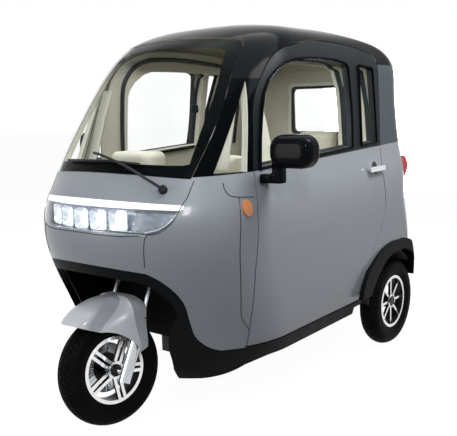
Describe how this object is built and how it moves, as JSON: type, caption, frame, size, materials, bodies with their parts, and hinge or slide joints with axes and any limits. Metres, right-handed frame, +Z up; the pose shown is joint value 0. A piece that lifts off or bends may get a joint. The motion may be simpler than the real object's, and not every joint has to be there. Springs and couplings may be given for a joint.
{
  "type": "three-wheeled enclosed electric cabin car",
  "caption": "Small enclosed electric car with one steered front wheel, driven rear wheels, hinged side doors, a driver's seat and a rear bench.",
  "frame": {"origin": "on the floor under the middle of the car", "axes": "+Z up, -Y the front of the car, +X the driver's left"},
  "size_m": [1.466, 1.9381, 1.5957],
  "materials": {
    "body_paint": "metallic silver-grey, clear coated",
    "roof_paint": "gloss black",
    "dark_paint": "satin dark grey",
    "cladding": "textured black",
    "glass": "clear",
    "lamp_cover": "clear polycarbonate",
    "lamp_body": "bright reflector",
    "light_bar": "white light bar",
    "tail_red": "red lens",
    "amber": "amber lens",
    "seat": "cream seat cover over foam",
    "trim": "interior trim",
    "floor_mat": "black floor with mat",
    "rubber": "black tyre",
    "rim_metal": "machined cast aluminium",
    "steel": "black painted steel",
    "fork_metal": "chromed tube and cast slider",
    "guard_paint": "silver-grey paint",
    "chrome": "chrome"
  },
  "bodies": {
    "cabin": {"front_side_left": "body_paint", "front_side_right": "body_paint", "bonnet": "body_paint", "front_bumper": "body_paint", "quarter_left": "body_paint", "quarter_right": "body_paint", "tail_panel": "body_paint", "roof": "roof_paint", "pillar_left": "roof_paint", "pillar_right": "roof_paint", "rear_upper_panel": "dark_paint", "lower_cladding": "cladding", "arch_trim_left": "cladding", "arch_trim_right": "cladding", "rear_bumper": "cladding", "front_liner": "cladding", "windscreen": "glass", "rear_window": "glass", "side_glass_left": "glass", "side_glass_right": "glass", "headlamp_cover": "lamp_cover", "headlamp_housing": "lamp_body", "light_strip": "light_bar", "tail_lamp_left": "tail_red", "tail_lamp_right": "tail_red", "indicator_left": "amber", "indicator_right": "amber", "driver_seat_cushion": "seat", "driver_seat_back": "seat", "driver_headrest": "seat", "rear_bench_cushion": "seat", "rear_bench_back": "seat", "rear_headrest": "seat", "dash": "trim", "driver_seat_base": "trim", "rear_bench_base": "trim", "floor": "floor_mat", "rear_axle": "steel", "battery_box": "steel"},
    "steering": {"fork": "fork_metal", "handlebar": "steel", "mudguard": "guard_paint"},
    "front_wheel": {"front_tyre": "rubber", "front_rim": "rim_metal"},
    "rear_wheel_left": {"rear_tyre_left": "rubber", "rear_rim_left": "rim_metal"},
    "rear_wheel_right": {"rear_tyre_right": "rubber", "rear_rim_right": "rim_metal"},
    "door_left": {"door_left_panel": "body_paint", "door_left_frame": "roof_paint", "door_left_window": "glass", "door_left_small_window": "glass", "mirror_left": "roof_paint", "handle_left": "chrome"},
    "door_right": {"door_right_panel": "body_paint", "door_right_frame": "roof_paint", "door_right_window": "glass", "door_right_small_window": "glass", "mirror_right": "roof_paint", "handle_right": "chrome"}
  },
  "joints": [
    {"name": "steer", "type": "hinge", "parent": "cabin", "child": "steering", "pos_m": [0, -0.45804, 0.71595], "axis": [0, 0.4462, 0.8949], "range_deg": [-29, 51]},
    {"name": "front_wheel_spin", "type": "hinge", "parent": "steering", "child": "front_wheel", "pos_m": [-0.00532, -0.73454, 0.22277], "axis": [0.9816, -0.1708, 0.0851], "continuous": true},
    {"name": "rear_wheel_left_spin", "type": "hinge", "parent": "cabin", "child": "rear_wheel_left", "pos_m": [0.468, 0.76, 0.223], "axis": [1, 0, 0], "continuous": true},
    {"name": "rear_wheel_right_spin", "type": "hinge", "parent": "cabin", "child": "rear_wheel_right", "pos_m": [-0.468, 0.76, 0.223], "axis": [1, 0, 0], "continuous": true},
    {"name": "door_left_swing", "type": "hinge", "parent": "cabin", "child": "door_left", "pos_m": [0.54, -0.44, 0.65], "axis": [0, 0, -1], "range_deg": [0, 65]},
    {"name": "door_right_swing", "type": "hinge", "parent": "cabin", "child": "door_right", "pos_m": [-0.54, -0.44, 0.65], "axis": [0, 0, 1], "range_deg": [0, 65]}
  ]
}
